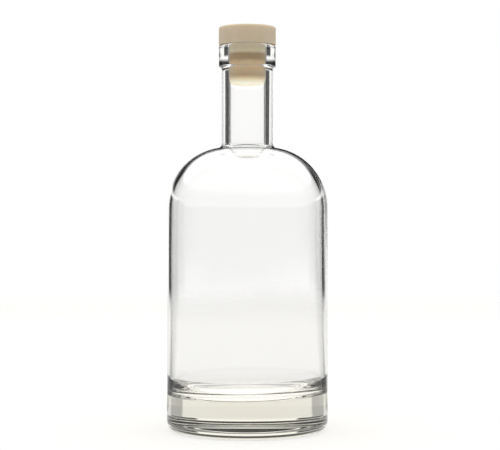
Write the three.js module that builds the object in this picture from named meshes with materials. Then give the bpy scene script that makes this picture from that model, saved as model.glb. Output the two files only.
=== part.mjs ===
// A clear glass spirits decanter with its stopper, at real size in millimetres, +Z up.
//
// The bottle is one blown piece: a heavy base with a shallow hollow under it, a straight round
// body, a rounded shoulder, a straight neck, and a band of thicker glass round the mouth.
// The stopper is one moulded piece: a flat round head that seats on the mouth, and a shank with a
// chamfered end that fills the top of the bore. It pulls straight up out of the bottle.
// The origin is the middle of the ring that the bottle stands on.
import * as THREE from "three";

// Body
const bodyRadius = 45;
const bodyWall = 2.8;
const bodyStraightTop = 124.9;
const shoulderRadius = 33.6;

// Neck and mouth
const glassHeight = 215.6;
const neckRadius = 14.4;
const neckRootRound = 2.5;
const boreRadius = 10.4;
const boreFlareRound = 4.5;
const lipRadius = 16.1;
const lipHeight = 12.1;
const lipLedgeSlope = 30;
const neckTopRound = 1.6;
const lipTopRound = 1.8;
const lipBottomRound = 0.5;
const mouthRound = 0.8;

// Base
const heelRound = 5.4;
const standingRingWidth = 4;
const ringInnerRound = 0.8;
const hollowDepth = 3;
const floorHeight = 19.6;
const floorCrown = 1.9;
const innerHeelRound = 12;

// Stopper
const headRadius = 16;
const headHeight = 10.3;
const headTopRound = 1.4;
const headBottomRound = 0.4;
const shankLength = 22.2;
const shankChamferHeight = 3;
const shankChamferDepth = 1.3;
const shankEndRound = 0.6;
const shankRootRound = 0.5;
const shankClearance = 0.1;
const seatGap = 0.05;

// How finely round shapes are cut
const roundSides = 48;
const filletSteps = 3;
const bigArcSteps = 6;

const degrees = Math.PI / 180;

// Points on an arc of a lathe profile, from one angle to another. 0 points away from the axis and
// 90 points up.
function arc(centreR, centreZ, radius, fromAngle, toAngle, steps) {
  const points = [];
  for (let i = 0; i <= steps; i++) {
    const a = (fromAngle + ((toAngle - fromAngle) * i) / steps) * degrees;
    points.push(
      new THREE.Vector2(
        centreR + radius * Math.cos(a),
        centreZ + radius * Math.sin(a),
      ),
    );
  }
  return points;
}

// Leaves out points that repeat the one before.
function withoutRepeats(points) {
  return points.filter((p, i) => i === 0 || p.distanceTo(points[i - 1]) > 1e-6);
}

// Turns a profile of radius and height round the upright axis.
function turned(profile) {
  const geometry = new THREE.LatheGeometry(withoutRepeats(profile), roundSides);
  geometry.rotateX(Math.PI / 2);
  return geometry;
}

// The underside: a shallow hollow, the flat ring that it stands on, and the rounded heel.
function undersideProfile() {
  const ringOuter = bodyRadius - heelRound;
  const ringInner = ringOuter - standingRingWidth;
  // The hollow is an arc that is level at the axis and meets the ring's inner rounding.
  const hollowEdge = ringInner - ringInnerRound;
  const hollowRise = hollowDepth - ringInnerRound;
  const hollowRadius = (hollowEdge ** 2 + hollowRise ** 2) / (2 * hollowRise);
  const hollowSpan = Math.asin(hollowEdge / hollowRadius) / degrees;
  const hollow = arc(
    0,
    hollowDepth - hollowRadius,
    hollowRadius,
    90,
    90 - hollowSpan,
    bigArcSteps,
  );
  return [
    new THREE.Vector2(0, hollowDepth),
    ...hollow.slice(1),
    ...arc(ringInner, ringInnerRound, ringInnerRound, 180, 270, filletSteps),
    ...arc(ringOuter, heelRound, heelRound, 270, 360, filletSteps),
  ];
}

// The shoulder is an arc about this radius and height, outside and inside alike.
const shoulderCentreR = bodyRadius - shoulderRadius;
const innerShoulderRadius = shoulderRadius - bodyWall;

// The outside, from the body's straight side up to the lip.
function outsideProfile() {
  // A rounding that touches the neck's side and the shoulder's arc.
  const rootR = neckRadius + neckRootRound;
  const rootReach = shoulderRadius + neckRootRound;
  const rootLean = Math.acos((rootR - shoulderCentreR) / rootReach) / degrees;
  const rootZ = bodyStraightTop + rootReach * Math.sin(rootLean * degrees);
  // Under the lip a sloping ledge runs in to a hollow rounding at the top of the neck's side.
  const lipUnderside = glassHeight - lipHeight;
  const ledgeTurn = 90 - lipLedgeSlope;
  const lipBottom = arc(
    lipRadius - lipBottomRound,
    lipUnderside + lipBottomRound,
    lipBottomRound,
    -ledgeTurn,
    0,
    2,
  );
  const ledgeInnerR =
    neckRadius + neckTopRound * (1 - Math.cos(ledgeTurn * degrees));
  const ledgeDrop =
    (lipBottom[0].x - ledgeInnerR) * Math.tan(lipLedgeSlope * degrees);
  const neckTopZ =
    lipBottom[0].y - ledgeDrop - neckTopRound * Math.sin(ledgeTurn * degrees);
  return [
    ...arc(
      shoulderCentreR,
      bodyStraightTop,
      shoulderRadius,
      0,
      rootLean,
      2 * bigArcSteps,
    ),
    ...arc(rootR, rootZ, neckRootRound, rootLean + 180, 180, filletSteps),
    ...arc(
      neckRadius + neckTopRound,
      neckTopZ,
      neckTopRound,
      180,
      180 - ledgeTurn,
      filletSteps,
    ),
    ...lipBottom,
    ...arc(
      lipRadius - lipTopRound,
      glassHeight - lipTopRound,
      lipTopRound,
      0,
      90,
      filletSteps,
    ),
  ];
}

// The inside, from the mouth down the bore to the middle of the floor.
function insideProfile() {
  const innerRadius = bodyRadius - bodyWall;
  // A rounding that touches the bore's side and the arc of the shoulder's inside.
  const flareR = boreRadius + boreFlareRound;
  const flareReach = innerShoulderRadius + boreFlareRound;
  const flareLean =
    Math.acos((flareR - shoulderCentreR) / flareReach) / degrees;
  const flareZ = bodyStraightTop + flareReach * Math.sin(flareLean * degrees);
  const heelR = innerRadius - innerHeelRound;
  const crown = [];
  for (let i = 1; i <= bigArcSteps; i++) {
    const share = 1 - i / bigArcSteps;
    crown.push(
      new THREE.Vector2(
        heelR * share,
        floorHeight + (floorCrown * (1 + Math.cos(Math.PI * share))) / 2,
      ),
    );
  }
  return [
    ...arc(
      boreRadius + mouthRound,
      glassHeight - mouthRound,
      mouthRound,
      90,
      180,
      filletSteps,
    ),
    ...arc(
      flareR,
      flareZ,
      boreFlareRound,
      180,
      180 + flareLean,
      2 * filletSteps,
    ),
    ...arc(
      shoulderCentreR,
      bodyStraightTop,
      innerShoulderRadius,
      flareLean,
      0,
      bigArcSteps,
    ),
    ...arc(
      heelR,
      floorHeight + innerHeelRound,
      innerHeelRound,
      0,
      -90,
      bigArcSteps,
    ),
    ...crown,
  ];
}

function bottleGeometry() {
  return turned([
    ...undersideProfile(),
    ...outsideProfile(),
    ...insideProfile(),
  ]);
}

function stopperGeometry() {
  const shankRadius = boreRadius - shankClearance;
  const headUnderside = glassHeight + seatGap;
  const shankEnd = headUnderside - shankLength;
  const headTop = headUnderside + headHeight;
  // The shank's chamfer leans in by this angle, and a small rounding joins it to the flat end.
  const chamferLean = Math.atan(shankChamferDepth / shankChamferHeight);
  const endRoundR =
    shankRadius -
    shankChamferDepth -
    (shankEndRound * (1 - Math.sin(chamferLean))) / Math.cos(chamferLean);
  return turned([
    new THREE.Vector2(0, shankEnd),
    ...arc(
      endRoundR,
      shankEnd + shankEndRound,
      shankEndRound,
      -90,
      -chamferLean / degrees,
      filletSteps,
    ),
    new THREE.Vector2(shankRadius, shankEnd + shankChamferHeight),
    ...arc(
      shankRadius + shankRootRound,
      headUnderside - shankRootRound,
      shankRootRound,
      180,
      90,
      2,
    ),
    ...arc(
      headRadius - headBottomRound,
      headUnderside + headBottomRound,
      headBottomRound,
      -90,
      0,
      2,
    ),
    ...arc(
      headRadius - headTopRound,
      headTop - headTopRound,
      headTopRound,
      0,
      90,
      filletSteps,
    ),
    new THREE.Vector2(0, headTop),
  ]);
}

const clearGlass = new THREE.MeshStandardMaterial({
  color: 0xe9ece6,
  roughness: 0.02,
  metalness: 0,
  transparent: true,
  opacity: 0.35,
});
const beigePolymer = new THREE.MeshStandardMaterial({
  color: 0xc4b08c,
  roughness: 0.6,
  metalness: 0,
});

const decanter = new THREE.Group();

const bottle = new THREE.Mesh(bottleGeometry(), clearGlass);
bottle.name = "bottle";
decanter.add(bottle);

const stopper = new THREE.Mesh(stopperGeometry(), beigePolymer);
stopper.name = "stopper";
decanter.add(stopper);

export default decanter;
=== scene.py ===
# Glass decanter with its stopper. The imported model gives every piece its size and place, and the
# bottle and the stopper are made here again with the fine shape and finish of the real ones.
# Sizes are in millimetres and angles in degrees, unless a name or a comment says otherwise.
import math

import bpy
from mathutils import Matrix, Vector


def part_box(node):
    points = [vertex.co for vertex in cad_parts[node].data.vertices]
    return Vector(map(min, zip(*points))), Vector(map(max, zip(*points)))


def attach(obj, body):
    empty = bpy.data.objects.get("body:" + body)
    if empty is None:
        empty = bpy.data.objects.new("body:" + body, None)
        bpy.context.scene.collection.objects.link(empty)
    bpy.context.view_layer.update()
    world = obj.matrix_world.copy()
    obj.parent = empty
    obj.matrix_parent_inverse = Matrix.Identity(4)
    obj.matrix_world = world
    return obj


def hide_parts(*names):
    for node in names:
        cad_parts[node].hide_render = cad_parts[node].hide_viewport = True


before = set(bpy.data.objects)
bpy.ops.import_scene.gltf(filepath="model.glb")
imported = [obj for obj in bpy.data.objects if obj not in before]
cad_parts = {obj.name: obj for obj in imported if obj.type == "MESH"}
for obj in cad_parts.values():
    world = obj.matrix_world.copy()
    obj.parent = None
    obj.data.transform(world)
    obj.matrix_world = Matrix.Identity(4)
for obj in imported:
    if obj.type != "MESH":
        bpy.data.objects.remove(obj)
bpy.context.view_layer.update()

# The view
# The bottle was photographed from a little above half its height, nearly level, through a long lens.
# The picture's own sizes are in pixels, and its row and column numbers start at the top left corner.
mm = 0.001
picture_width = 500
picture_height = 450
axis_column = 247.3
eye_row = 216.5
base_row = 430.05
mm_per_pixel = 0.5607
camera_distance = 861
sensor_width = 36

eye_height = (base_row - eye_row) * mm_per_pixel
distance_in_pixels = camera_distance / mm_per_pixel
camera = bpy.data.objects.new("camera", bpy.data.cameras.new("camera"))
bpy.context.collection.objects.link(camera)
bpy.context.scene.camera = camera
camera.data.sensor_width = sensor_width
camera.data.lens = distance_in_pixels * sensor_width / picture_width
camera.location = (
    (picture_width / 2 - axis_column) * mm_per_pixel * mm,
    -camera_distance * mm,
    eye_height * mm,
)
tilt_down = math.atan((picture_height / 2 - eye_row) / distance_in_pixels)
camera.rotation_euler = (math.radians(90) - tilt_down, 0, 0)

# Bottle
# One piece of clear soda-lime glass, blown in a mould: its outside has the mould's true round, and
# its inside is a little uneven, with a thick floor that stands on a stippled ring round a hollow.
glass_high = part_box("bottle")[1]
body_radius = glass_high.x / mm
glass_height = glass_high.z / mm
body_wall = 2.8
body_straight_top = 124.9
shoulder_radius = 33.6
neck_radius = 14.4
neck_root_round = 2.5
bore_radius = 10.4
bore_flare_round = 4.5
lip_radius = 16.1
lip_height = 12.1
lip_ledge_slope = 30
neck_top_round = 1.6
lip_top_round = 1.8
lip_bottom_round = 0.5
mouth_round = 0.8
heel_round = 5.4
ring_width = 4
ring_inner_round = 0.8
hollow_depth = 3
floor_height = 19.6
floor_crown = 1.9
inner_heel_round = 12
stipple_count = 135
stipple_rows = 4
stipple_depth = 0.25
sides_per_stipple = 3
side_end = 0.6
floor_tilt = 0.018
body_unevenness = 0.25
neck_unevenness = 0.08

# How finely each stretch of the outline is cut
hollow_steps = 16
small_round_steps = 5
heel_steps = 10
side_steps = 4
shoulder_steps = 26
neck_root_steps = 8
neck_steps = 10
lip_bottom_steps = 4
lip_top_steps = 8
flare_steps = 10
inner_shoulder_steps = 20
inner_side_steps = 24
inner_heel_steps = 12
crown_steps = 12
# Points of an outline that are closer than this are the same point.
same_place = 0.001


def arc(centre_r, centre_z, radius, from_angle, to_angle, steps):
    """Points of radius and height on an arc. 0 degrees points away from the axis and 90 up."""
    points = []
    for i in range(steps + 1):
        angle = math.radians(from_angle + (to_angle - from_angle) * i / steps)
        r = centre_r + radius * math.cos(angle)
        points.append((r, centre_z + radius * math.sin(angle)))
    return points


def straight(start, end, steps):
    """Points on a straight line, with both of its ends."""
    return [
        (
            start[0] + (end[0] - start[0]) * i / steps,
            start[1] + (end[1] - start[1]) * i / steps,
        )
        for i in range(steps + 1)
    ]


def upright(r, low, high, steps):
    """Points on an upright side, with one close to each end, so that it is shaded as straight."""
    return [
        (r, low),
        *straight((r, low + side_end), (r, high - side_end), steps),
        (r, high),
    ]


def without_repeats(points):
    """Leaves out each point that lies on the one before it."""
    kept = points[:1]
    for point in points[1:]:
        if math.dist(point, kept[-1]) > same_place:
            kept.append(point)
    return kept


def turned(name, profile, sides, moved=None):
    """A closed smooth mesh: a profile that starts and ends on the axis, turned round it.

    moved(step, r, z, angle), where it is given, returns the radius and height that a point of the
    profile really has at that angle."""
    vertices = [(0, 0, profile[0][1] * mm)]
    for step, (profile_r, profile_z) in enumerate(profile[1:-1], 1):
        for side in range(sides):
            angle = 2 * math.pi * side / sides
            r, z = profile_r, profile_z
            if moved:
                r, z = moved(step, r, z, angle)
            x = r * math.cos(angle)
            y = r * math.sin(angle)
            vertices.append((x * mm, y * mm, z * mm))
    vertices.append((0, 0, profile[-1][1] * mm))
    faces = []
    rings = len(profile) - 2
    last = len(vertices) - 1
    for side in range(sides):
        after = (side + 1) % sides
        faces.append((0, 1 + after, 1 + side))
        for ring in range(rings - 1):
            here = 1 + ring * sides
            above = here + sides
            faces.append((here + side, here + after, above + after, above + side))
        top = 1 + (rings - 1) * sides
        faces.append((top + side, top + after, last))
    mesh = bpy.data.meshes.new(name)
    mesh.from_pydata(vertices, [], faces)
    mesh.shade_smooth()
    piece = bpy.data.objects.new(name, mesh)
    bpy.context.collection.objects.link(piece)
    return piece


ring_outer = body_radius - heel_round
ring_inner = ring_outer - ring_width
hollow_edge = ring_inner - ring_inner_round
hollow_rise = hollow_depth - ring_inner_round
hollow_radius = (hollow_edge**2 + hollow_rise**2) / (2 * hollow_rise)
hollow_span = math.degrees(math.asin(hollow_edge / hollow_radius))
underside = [
    *arc(
        0,
        hollow_depth - hollow_radius,
        hollow_radius,
        90,
        90 - hollow_span,
        hollow_steps,
    ),
    *arc(ring_inner, ring_inner_round, ring_inner_round, 180, 270, small_round_steps),
    *straight((ring_inner, 0), (ring_outer, 0), 2 * stipple_rows),
    *arc(ring_outer, heel_round, heel_round, 270, 360, heel_steps),
]

shoulder_centre_r = body_radius - shoulder_radius
root_r = neck_radius + neck_root_round
root_reach = shoulder_radius + neck_root_round
root_lean = math.degrees(math.acos((root_r - shoulder_centre_r) / root_reach))
root_z = body_straight_top + root_reach * math.sin(math.radians(root_lean))
lip_underside = glass_height - lip_height
ledge_turn = 90 - lip_ledge_slope
lip_bottom = arc(
    lip_radius - lip_bottom_round,
    lip_underside + lip_bottom_round,
    lip_bottom_round,
    -ledge_turn,
    0,
    lip_bottom_steps,
)
ledge_inner_r = neck_radius + neck_top_round * (1 - math.cos(math.radians(ledge_turn)))
ledge_drop = (lip_bottom[0][0] - ledge_inner_r) * math.tan(
    math.radians(lip_ledge_slope)
)
neck_top_z = (
    lip_bottom[0][1] - ledge_drop - neck_top_round * math.sin(math.radians(ledge_turn))
)
outside = [
    *upright(body_radius, heel_round, body_straight_top, side_steps),
    *arc(
        shoulder_centre_r,
        body_straight_top,
        shoulder_radius,
        0,
        root_lean,
        shoulder_steps,
    ),
    *arc(root_r, root_z, neck_root_round, root_lean + 180, 180, neck_root_steps),
    *upright(neck_radius, root_z, neck_top_z, neck_steps),
    *arc(
        neck_radius + neck_top_round,
        neck_top_z,
        neck_top_round,
        180,
        180 - ledge_turn,
        small_round_steps,
    ),
    *lip_bottom,
    *arc(
        lip_radius - lip_top_round,
        glass_height - lip_top_round,
        lip_top_round,
        0,
        90,
        lip_top_steps,
    ),
]

inner_radius = body_radius - body_wall
inner_shoulder_radius = shoulder_radius - body_wall
flare_r = bore_radius + bore_flare_round
flare_reach = inner_shoulder_radius + bore_flare_round
flare_lean = math.degrees(math.acos((flare_r - shoulder_centre_r) / flare_reach))
flare_z = body_straight_top + flare_reach * math.sin(math.radians(flare_lean))
inner_heel_r = inner_radius - inner_heel_round
inner_heel_z = floor_height + inner_heel_round
crown = []
for i in range(1, crown_steps + 1):
    share = 1 - i / crown_steps
    rise = floor_crown * (1 + math.cos(math.pi * share)) / 2
    crown.append((inner_heel_r * share, floor_height + rise))
inside = [
    *arc(
        bore_radius + mouth_round,
        glass_height - mouth_round,
        mouth_round,
        90,
        180,
        small_round_steps,
    ),
    *reversed(upright(bore_radius, flare_z, glass_height - mouth_round, neck_steps)),
    *arc(flare_r, flare_z, bore_flare_round, 180, 180 + flare_lean, flare_steps),
    *arc(
        shoulder_centre_r,
        body_straight_top,
        inner_shoulder_radius,
        flare_lean,
        0,
        inner_shoulder_steps,
    ),
    *reversed(upright(inner_radius, inner_heel_z, body_straight_top, inner_side_steps)),
    *arc(inner_heel_r, inner_heel_z, inner_heel_round, 0, -90, inner_heel_steps),
    *crown,
]
outer_profile = without_repeats(underside + outside)
bottle_profile = without_repeats(outer_profile + inside)


def ramp(value, low, high):
    """Rises smoothly from 0 at the low value to 1 at the high one."""
    share = min(max((value - low) / (high - low), 0), 1)
    return share * share * (3 - 2 * share)


def as_blown(step, r, z, angle):
    """The stipple pressed into the standing ring, and the uneven inside that blowing leaves."""
    if step < len(outer_profile):
        if z == 0 and ring_inner < r < ring_outer:
            row = (r - ring_inner) / ring_width * stipple_rows
            dots = math.cos(stipple_count * angle) * math.cos(math.pi * row)
            return r, stipple_depth * (1 - dots) / 2
        return r, z
    below_mouth = ramp(glass_height - z, lip_height, 3 * lip_height)
    in_body = 1 - ramp(z, body_straight_top, body_straight_top + shoulder_radius)
    swing = neck_unevenness + (body_unevenness - neck_unevenness) * in_body
    height_share = z / glass_height
    # Three slow waves round the inside, each with its share of the swing, its number of crests, its
    # own start and the way it turns about the axis as it rises, both in radians.
    waves = 0
    for share, crests, start, twist in (
        (0.5, 2, 1.1, 4),
        (0.3, 3, 2.3, -7),
        (0.2, 1, 0.4, 13),
    ):
        waves += share * math.sin(crests * angle + start + twist * height_share)
    on_floor = 1 - ramp(z, floor_height, floor_height + 2 * inner_heel_round)
    uneven_r = r + swing * waves * below_mouth * ramp(r, 0, bore_radius)
    return uneven_r, z + floor_tilt * r * math.cos(angle) * on_floor


bottle = turned(
    "glass_bottle", bottle_profile, stipple_count * sides_per_stipple, as_blown
)


def linear(hex_colour):
    """A colour written in sRGB, such as #c8b496, as linear red, green, blue and alpha."""
    channels = []
    for start in (1, 3, 5):
        value = int(hex_colour[start : start + 2], 16) / 255
        if value <= 0.04045:
            channels.append(value / 12.92)
        else:
            channels.append(((value + 0.055) / 1.055) ** 2.4)
    return (*channels, 1)


def add_node(tree, kind, inputs=None, **settings):
    """Adds a node with its settings. An input is a value, or the output that is linked to it."""
    node = tree.nodes.new("ShaderNode" + kind)
    for name, value in settings.items():
        setattr(node, name, value)
    for name, value in (inputs or {}).items():
        if isinstance(value, bpy.types.NodeSocket):
            tree.links.new(value, node.inputs[name])
        else:
            node.inputs[name].default_value = value
    return node


def new_material(name):
    """An empty material, its node tree and its output node."""
    material = bpy.data.materials.new(name)
    material.use_nodes = True
    material.node_tree.nodes.clear()
    output = add_node(material.node_tree, "OutputMaterial")
    return material, material.node_tree, output


# Clear soda-lime glass: colourless in the thin wall, and a faint warm grey through the thick floor.
# Its skin has the slow shallow ripple of glass that cooled against a mould.
soda_lime_ior = 1.52
ripple_length = 14
ripple_depth = 0.006
tint_per_metre = 14
tint_colour = "#f4f2e6"
clear_glass, tree, output = new_material("clear_soda_lime_glass")
place = add_node(tree, "TexCoord")
ripple = add_node(
    tree,
    "TexNoise",
    {
        "Vector": place.outputs["Object"],
        "Scale": 1 / (ripple_length * mm),
        "Detail": 1,
        "Roughness": 0.4,
    },
)
skin = add_node(
    tree,
    "Bump",
    {"Height": ripple.outputs["Fac"], "Distance": ripple_depth * mm, "Strength": 1},
)
glass = add_node(
    tree,
    "BsdfPrincipled",
    {
        "Base Color": (1, 1, 1, 1),
        "Roughness": 0,
        "IOR": soda_lime_ior,
        "Transmission Weight": 1,
        "Normal": skin.outputs["Normal"],
    },
)
tint = add_node(
    tree,
    "VolumeAbsorption",
    {"Color": linear(tint_colour), "Density": tint_per_metre},
)
tree.links.new(glass.outputs[0], output.inputs["Surface"])
tree.links.new(tint.outputs[0], output.inputs["Volume"])
bottle.data.materials.append(clear_glass)
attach(bottle, "bottle")
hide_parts("bottle")

# Stopper
# One moulding of beige thermoplastic elastomer: a flat round head that seats on the mouth, and a
# shank with a chamfered end that is pushed down the bore.
stopper_low, stopper_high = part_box("stopper")
head_radius = stopper_high.x / mm
head_top = stopper_high.z / mm
shank_end = stopper_low.z / mm
seat_gap = 0.05
head_underside = glass_height + seat_gap
shank_length = head_underside - shank_end
shank_clearance = 0.1
shank_radius = bore_radius - shank_clearance
shank_chamfer_height = 3
shank_chamfer_depth = 1.3
shank_end_round = 0.6
shank_root_round = 0.5
head_top_round = 1.4
head_bottom_round = 0.4
stopper_sides = 192
end_steps = 6
chamfer_steps = 4
shank_steps = 8
head_round_steps = 10
head_top_steps = 8
chamfer_lean = math.atan(shank_chamfer_depth / shank_chamfer_height)
end_round_r = (
    shank_radius
    - shank_chamfer_depth
    - shank_end_round * (1 - math.sin(chamfer_lean)) / math.cos(chamfer_lean)
)
shank_end_arc = arc(
    end_round_r,
    shank_end + shank_end_round,
    shank_end_round,
    -90,
    -math.degrees(chamfer_lean),
    small_round_steps,
)
shank_side_z = shank_end + shank_chamfer_height
head_top_r = head_radius - head_top_round
stopper_profile = without_repeats(
    [
        *straight((0, shank_end), (end_round_r, shank_end), end_steps),
        *shank_end_arc,
        *straight(shank_end_arc[-1], (shank_radius, shank_side_z), chamfer_steps),
        *upright(
            shank_radius, shank_side_z, head_underside - shank_root_round, shank_steps
        ),
        *arc(
            shank_radius + shank_root_round,
            head_underside - shank_root_round,
            shank_root_round,
            180,
            90,
            small_round_steps,
        ),
        *arc(
            head_radius - head_bottom_round,
            head_underside + head_bottom_round,
            head_bottom_round,
            -90,
            0,
            small_round_steps,
        ),
        *arc(
            head_top_r,
            head_top - head_top_round,
            head_top_round,
            0,
            90,
            head_round_steps,
        ),
        *straight((head_top_r, head_top), (0, head_top), head_top_steps),
    ]
)
stopper = turned("moulded_stopper", stopper_profile, stopper_sides)

# Beige elastomer moulding: matt, a little soft to the light at its edges, with the fine even grain
# of a spark-eroded mould. The real grain is near 0.1 mm and is drawn at 0.4 mm so that it shows.
# Through the glass the shank is painted by height with the light and shade that the lip and the bore
# throw on it: bands of painted light and painted shade, and a painted glow at its end.
beige_colour = "#dccdb4"
mottle_colour = "#f2f0ec"
mottle_size = 6
grain_size = 0.4
grain_depth = 0.02
grain_strength = 0.6
elastomer_roughness = 0.55
elastomer_ior = 1.48
scatter_depth = 4
# The painted glow at the shank's end: its colour, the height over the end that it fades out by, and
# its strength.
painted_glow_colour = "#fff4d8"
glow_height = 4.5
glow_strength = 0.55
# The surfaces that a ray has met are counted in whole numbers, so this parts none from one or more.
at_least_one = 0.5
beige_elastomer, tree, output = new_material("beige_elastomer")
place = add_node(tree, "TexCoord")
up = add_node(tree, "SeparateXYZ", {0: place.outputs["Object"]})
shank_share = add_node(
    tree,
    "MapRange",
    {
        "Value": up.outputs["Z"],
        "From Min": shank_end * mm,
        "From Max": head_underside * mm,
    },
)
# Painted light and painted shade on the shank, by height, shown only for rays that came through the
# glass.
painted_light_bands = add_node(tree, "ValToRGB", {"Fac": shank_share.outputs["Result"]})
stops = painted_light_bands.color_ramp.elements
stops.remove(stops[1])
stops[0].color = linear("#fff8e6")
# Heights are over the shank's end.
for height, colour in (
    (1.5, "#fff6e0"),
    (3.0, "#efdcb8"),
    (5.0, "#e6d0ac"),
    (8.0, "#fce4c0"),
    (12.0, "#fce4c0"),
    (14.0, "#cab28e"),
    (16.5, "#cab28e"),
    (18.0, "#fff2d6"),
    (21.9, "#fff2d6"),
    (shank_length, beige_colour),
):
    stops.new(height / shank_length).color = linear(colour)
path = add_node(tree, "LightPath")
through_glass = add_node(
    tree,
    "Math",
    {0: path.outputs["Transmission Depth"], 1: at_least_one},
    operation="GREATER_THAN",
)
beige_with_painted_light = add_node(
    tree,
    "Mix",
    {
        "Factor": through_glass.outputs[0],
        "A": linear(beige_colour),
        "B": painted_light_bands.outputs["Color"],
    },
    data_type="RGBA",
)
# A painted glow: the shank's end gives off light of its own, but only through the glass.
end_light = add_node(
    tree,
    "MapRange",
    {
        "Value": shank_share.outputs["Result"],
        "From Min": 0,
        "From Max": glow_height / shank_length,
        "To Min": glow_strength,
        "To Max": 0,
    },
)
painted_end_glow = add_node(
    tree,
    "Math",
    {0: end_light.outputs["Result"], 1: through_glass.outputs[0]},
    operation="MULTIPLY",
)
mottle = add_node(
    tree,
    "TexNoise",
    {"Vector": place.outputs["Object"], "Scale": 1 / (mottle_size * mm), "Detail": 3},
)
beige = add_node(
    tree,
    "Mix",
    {
        "Factor": mottle.outputs["Fac"],
        "A": beige_with_painted_light.outputs["Result"],
        "B": linear(mottle_colour),
    },
    data_type="RGBA",
    blend_type="MULTIPLY",
)
grain = add_node(
    tree,
    "TexNoise",
    {"Vector": place.outputs["Object"], "Scale": 1 / (grain_size * mm), "Detail": 2},
)
grained = add_node(
    tree,
    "Bump",
    {
        "Height": grain.outputs["Fac"],
        "Distance": grain_depth * mm,
        "Strength": grain_strength,
    },
)
surface = add_node(
    tree,
    "BsdfPrincipled",
    {
        "Base Color": beige.outputs["Result"],
        "Subsurface Weight": 1,
        "Subsurface Radius": (1.0, 0.75, 0.5),
        "Subsurface Scale": scatter_depth * mm,
        "Roughness": elastomer_roughness,
        "IOR": elastomer_ior,
        "Emission Color": linear(painted_glow_colour),
        "Emission Strength": painted_end_glow.outputs[0],
        "Normal": grained.outputs["Normal"],
    },
)
tree.links.new(surface.outputs[0], output.inputs["Surface"])
stopper.data.materials.append(beige_elastomer)
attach(stopper, "stopper")
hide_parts("stopper")

# Table
# A plain white table top under the bottle. It shines a little of its own towards the camera and the
# glass, so that it is as white as the backdrop, and keeps the soft shadow where the bottle stands.
table_radius = 1900
table_thickness = 1
table_fade_start = 800
table_gap = 0.05
table_sides = 96
table_colour = "#b4b4b4"
table_glow_colour = "#fffefa"
glow_to_camera = 0.62
glow_to_glass = 0.5

# Painted light and shade on the table, which only the glass sees: a painted pool of light under the
# bottle, for the light that it gathers there, and a painted dim strip on each side, for the shade
# that its thick base shows. Each strip lies between two straight lines, which run at a bearing in
# degrees from straight back and pass the middle of the table at an offset. A ray that met more
# surfaces than solid glass has came through the hollow body, and sees no strip.
painted_pool_glow = 0.9
pool_radius = 42
pool_soft = 20
solid_glass_surfaces = 2
strip_start_bearing = 40.6
strip_start_offset = 35
strip_end_bearing = 64
strip_end_offset = 42.5
strip_soft = 2
painted_strip_glow = 0.05
table = turned(
    "table",
    [
        (0, -table_gap - table_thickness),
        (table_radius, -table_gap - table_thickness),
        (table_radius, -table_gap),
        (0, -table_gap),
    ],
    table_sides,
)
table.data.shade_flat()
white_table, tree, output = new_material("white_table")
path = add_node(tree, "LightPath")
to_glass = add_node(
    tree,
    "Math",
    {0: path.outputs["Is Glossy Ray"], 1: path.outputs["Is Transmission Ray"]},
    operation="MAXIMUM",
)
seen = add_node(
    tree,
    "Math",
    {0: to_glass.outputs[0], 1: path.outputs["Is Camera Ray"]},
    operation="MAXIMUM",
)
place = add_node(tree, "TexCoord")
reach = add_node(
    tree, "VectorMath", {0: place.outputs["Object"]}, operation="LENGTH"
)
on_table = add_node(tree, "SeparateXYZ", {0: place.outputs["Object"]})
beside = add_node(tree, "Math", {0: on_table.outputs["X"]}, operation="ABSOLUTE")
# The painted dim strips: painted shade on the table beside the bottle, which only the glass sees.
strips = []
for strip_bearing, strip_offset, before, after in (
    (strip_start_bearing, strip_start_offset, 0, 1),
    (strip_end_bearing, strip_end_offset, 1, 0),
):
    sideways = add_node(
        tree,
        "Math",
        {0: beside.outputs[0], 1: -math.cos(math.radians(strip_bearing))},
        operation="MULTIPLY",
    )
    off_line = add_node(
        tree,
        "Math",
        {
            0: on_table.outputs["Y"],
            1: math.sin(math.radians(strip_bearing)),
            2: sideways.outputs[0],
        },
        operation="MULTIPLY_ADD",
    )
    strips.append(
        add_node(
            tree,
            "MapRange",
            {
                "Value": off_line.outputs[0],
                "From Min": (strip_offset - strip_soft) * mm,
                "From Max": (strip_offset + strip_soft) * mm,
                "To Min": before,
                "To Max": after,
            },
            interpolation_type="SMOOTHSTEP",
        )
    )
beside_strips = add_node(
    tree,
    "Math",
    {0: strips[0].outputs["Result"], 1: strips[1].outputs["Result"]},
    operation="MAXIMUM",
)
through_hollow = add_node(
    tree,
    "Math",
    {
        0: path.outputs["Transmission Depth"],
        1: solid_glass_surfaces + at_least_one,
    },
    operation="GREATER_THAN",
)
off_strips = add_node(
    tree,
    "Math",
    {0: beside_strips.outputs[0], 1: through_hollow.outputs[0]},
    operation="MAXIMUM",
)
glow_with_painted_strips = add_node(
    tree,
    "MapRange",
    {"Value": off_strips.outputs[0], "To Min": painted_strip_glow, "To Max": glow_to_glass},
)
# A painted pool of light on the table under the bottle, which only the glass sees.
painted_pool_and_strips = add_node(
    tree,
    "MapRange",
    {
        "Value": reach.outputs["Value"],
        "From Min": pool_radius * mm,
        "From Max": (pool_radius + pool_soft) * mm,
        "To Min": painted_pool_glow,
        "To Max": glow_with_painted_strips.outputs["Result"],
    },
    interpolation_type="SMOOTHSTEP",
)
glow = add_node(
    tree,
    "MapRange",
    {
        "Value": to_glass.outputs[0],
        "To Min": glow_to_camera,
        "To Max": painted_pool_and_strips.outputs["Result"],
    },
)
own_light = add_node(
    tree,
    "Math",
    {0: seen.outputs[0], 1: glow.outputs["Result"]},
    operation="MULTIPLY",
)
paint = add_node(tree, "BsdfDiffuse", {"Color": linear(table_colour)})
lit = add_node(
    tree,
    "Emission",
    {"Color": linear(table_glow_colour), "Strength": own_light.outputs[0]},
)
both = add_node(tree, "AddShader", {0: paint.outputs[0], 1: lit.outputs[0]})
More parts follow.
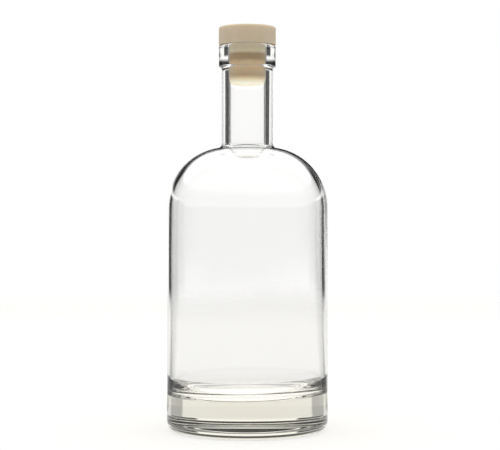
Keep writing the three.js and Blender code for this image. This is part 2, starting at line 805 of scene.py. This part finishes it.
past = add_node(
    tree,
    "MapRange",
    {
        "Value": reach.outputs["Value"],
        "From Min": table_fade_start * mm,
        "From Max": table_radius * mm,
    },
    interpolation_type="SMOOTHSTEP",
)
beyond = add_node(tree, "BsdfTransparent")
faded = add_node(
    tree,
    "MixShader",
    {0: past.outputs["Result"], 1: both.outputs[0], 2: beyond.outputs[0]},
)
tree.links.new(faded.outputs[0], output.inputs["Surface"])
table.data.materials.append(white_table)

# Studio
# White screens round the table and a bright ceiling over it. Clear glass shows what stands round it,
# so a low dark card on each side of the backdrop draws the dark edges of the bottle.
# Strengths are shares of the plain white that the camera sees. Angles go round from the middle of
# the backdrop, or up from the horizon.
backdrop_light = 1.04
backdrop_even_to = 0.5
backdrop_bright_from = 4
backdrop_high_share = 1.08
backdrop_top = 8.3
backdrop_top_soft = 1
card_light = 0.03
card_angle = 27
card_soft_angle = 1.5
card_top = 6.5
card_top_soft = 0.5
side_light = 0.95
side_angle = 63
side_soft_angle = 3
front_light = 0.6
front_angle = 120
front_soft_angle = 9
shine_share = 0.25
ceiling_start = 24
ceiling_soft = 4
ceiling_light = 1.4
far_table_light = 0.98
far_table_low = -2.8
far_table_high = -1.2
room_light = 0.95

world = bpy.data.worlds.new("studio")
bpy.context.scene.world = world
world.use_nodes = True
tree = world.node_tree
tree.nodes.clear()
output = add_node(tree, "OutputWorld")
direction = add_node(tree, "TexCoord")
parts = add_node(tree, "SeparateXYZ", {0: direction.outputs["Generated"]})
bearing = add_node(
    tree,
    "Math",
    {0: parts.outputs["X"], 1: parts.outputs["Y"]},
    operation="ARCTAN2",
)
from_behind = add_node(tree, "Math", {0: bearing.outputs[0]}, operation="ABSOLUTE")
half_turns = add_node(
    tree, "Math", {0: from_behind.outputs[0], 1: math.pi}, operation="DIVIDE"
)
level_round_table = add_node(tree, "ValToRGB", {"Fac": half_turns.outputs[0]})
stops = level_round_table.color_ramp.elements
stops.remove(stops[1])
stops[0].color = (backdrop_light, backdrop_light, backdrop_light, 1)
for angle, light in (
    (side_angle - side_soft_angle, backdrop_light),
    (side_angle + side_soft_angle, side_light),
    (front_angle - front_soft_angle, side_light),
    (front_angle + front_soft_angle, front_light),
):
    stops.new(angle / 180).color = (light, light, light, 1)


def upward(angle):
    """How far a direction at this angle over the horizon points up, from -1 to 1."""
    return math.sin(math.radians(angle))


# The cards stand low, from their own angle to where the sides begin.
card_edges = []
for angle, soft, before, after in (
    (card_angle, card_soft_angle, 0, 1),
    (side_angle, side_soft_angle, 1, 0),
):
    card_edges.append(
        add_node(
            tree,
            "MapRange",
            {
                "Value": from_behind.outputs[0],
                "From Min": math.radians(angle - soft),
                "From Max": math.radians(angle + soft),
                "To Min": before,
                "To Max": after,
            },
        )
    )
cards_across = add_node(
    tree,
    "Math",
    {0: card_edges[0].outputs["Result"], 1: card_edges[1].outputs["Result"]},
    operation="MINIMUM",
)
under_card_top = add_node(
    tree,
    "MapRange",
    {
        "Value": parts.outputs["Z"],
        "From Min": upward(card_top - card_top_soft),
        "From Max": upward(card_top + card_top_soft),
        "To Min": 1,
        "To Max": 0,
    },
)
cards = add_node(
    tree,
    "Math",
    {0: cards_across.outputs[0], 1: under_card_top.outputs["Result"]},
    operation="MULTIPLY",
)

# The screens are a little brighter higher up, and the far table shows below them.
up_backdrop = add_node(
    tree,
    "MapRange",
    {
        "Value": parts.outputs["Z"],
        "From Min": upward(backdrop_even_to),
        "From Max": upward(backdrop_bright_from),
        "To Min": 1,
        "To Max": backdrop_high_share,
    },
    interpolation_type="SMOOTHSTEP",
)
lit_screens = add_node(
    tree,
    "Math",
    {0: level_round_table.outputs["Color"], 1: up_backdrop.outputs["Result"]},
    operation="MULTIPLY",
)
above_table = add_node(
    tree,
    "MapRange",
    {
        "Value": parts.outputs["Z"],
        "From Min": upward(far_table_low),
        "From Max": upward(far_table_high),
    },
    interpolation_type="SMOOTHSTEP",
)
screens = add_node(
    tree,
    "Mix",
    {
        "Factor": above_table.outputs["Result"],
        "A": far_table_light,
        "B": lit_screens.outputs[0],
    },
    data_type="FLOAT",
)
screens_and_cards = add_node(
    tree,
    "Mix",
    {
        "Factor": cards.outputs[0],
        "A": screens.outputs["Result"],
        "B": card_light,
    },
    data_type="FLOAT",
)

# The ceiling is bright. The dark strip between it and the backdrop is seen only through solid glass.
path = add_node(tree, "LightPath")
heights = []
for angle, soft in (
    (backdrop_top, backdrop_top_soft),
    (ceiling_start, ceiling_soft),
):
    heights.append(
        add_node(
            tree,
            "MapRange",
            {
                "Value": parts.outputs["Z"],
                "From Min": upward(angle - soft),
                "From Max": upward(angle + soft),
            },
            interpolation_type="SMOOTHSTEP",
        )
    )
over_backdrop, in_ceiling = heights
screens_and_ceiling = add_node(
    tree,
    "Mix",
    {
        "Factor": in_ceiling.outputs["Result"],
        "A": screens_and_cards.outputs["Result"],
        "B": ceiling_light,
    },
    data_type="FLOAT",
)
under_ceiling = add_node(
    tree, "Math", {0: 1.0, 1: in_ceiling.outputs["Result"]}, operation="SUBTRACT"
)
dark_strip = add_node(
    tree,
    "Math",
    {0: over_backdrop.outputs["Result"], 1: under_ceiling.outputs[0]},
    operation="MULTIPLY",
)
through_solid = add_node(
    tree,
    "Math",
    {
        0: path.outputs["Transmission Depth"],
        1: solid_glass_surfaces + at_least_one,
    },
    operation="LESS_THAN",
)
strip_seen = add_node(
    tree,
    "Math",
    {0: dark_strip.outputs[0], 1: through_solid.outputs[0]},
    operation="MULTIPLY",
)
studio = add_node(
    tree,
    "Mix",
    {
        "Factor": strip_seen.outputs[0],
        "A": screens_and_ceiling.outputs["Result"],
        "B": card_light,
    },
    data_type="FLOAT",
)

# The glass mirrors the sides and the front only faintly.
in_front = add_node(
    tree,
    "MapRange",
    {
        "Value": from_behind.outputs[0],
        "From Min": math.radians(side_angle - side_soft_angle),
        "From Max": math.radians(side_angle + side_soft_angle),
        "To Min": 1,
        "To Max": shine_share,
    },
)
reflected = add_node(
    tree,
    "Math",
    {0: path.outputs["Glossy Depth"], 1: at_least_one},
    operation="GREATER_THAN",
)
glossy_above_table = add_node(
    tree,
    "Math",
    {0: reflected.outputs[0], 1: above_table.outputs["Result"]},
    operation="MULTIPLY",
)
shine = add_node(
    tree,
    "Mix",
    {
        "Factor": glossy_above_table.outputs[0],
        "A": 1.0,
        "B": in_front.outputs["Result"],
    },
    data_type="FLOAT",
)
mirrored = add_node(
    tree,
    "Math",
    {0: studio.outputs["Result"], 1: shine.outputs["Result"]},
    operation="MULTIPLY",
)

# Only the glass sees the screens. All other surfaces get the plain even light of the room, and the
# camera sees white.
to_glass = add_node(
    tree,
    "Math",
    {0: path.outputs["Is Glossy Ray"], 1: path.outputs["Is Transmission Ray"]},
    operation="MAXIMUM",
)
straight_on = add_node(
    tree,
    "Math",
    {0: path.outputs["Diffuse Depth"], 1: at_least_one},
    operation="LESS_THAN",
)
in_glass = add_node(
    tree,
    "Math",
    {0: to_glass.outputs[0], 1: straight_on.outputs[0]},
    operation="MULTIPLY",
)
around = add_node(
    tree,
    "Mix",
    {"Factor": in_glass.outputs[0], "A": room_light, "B": mirrored.outputs[0]},
    data_type="FLOAT",
)
shown = add_node(
    tree,
    "Mix",
    {
        "Factor": path.outputs["Is Camera Ray"],
        "A": around.outputs["Result"],
        "B": 1.0,
    },
    data_type="FLOAT",
)
sky = add_node(
    tree,
    "Background",
    {"Color": (1, 1, 1, 1), "Strength": shown.outputs["Result"]},
)
tree.links.new(sky.outputs[0], output.inputs["Surface"])
bpy.context.scene.view_settings.view_transform = "Standard"
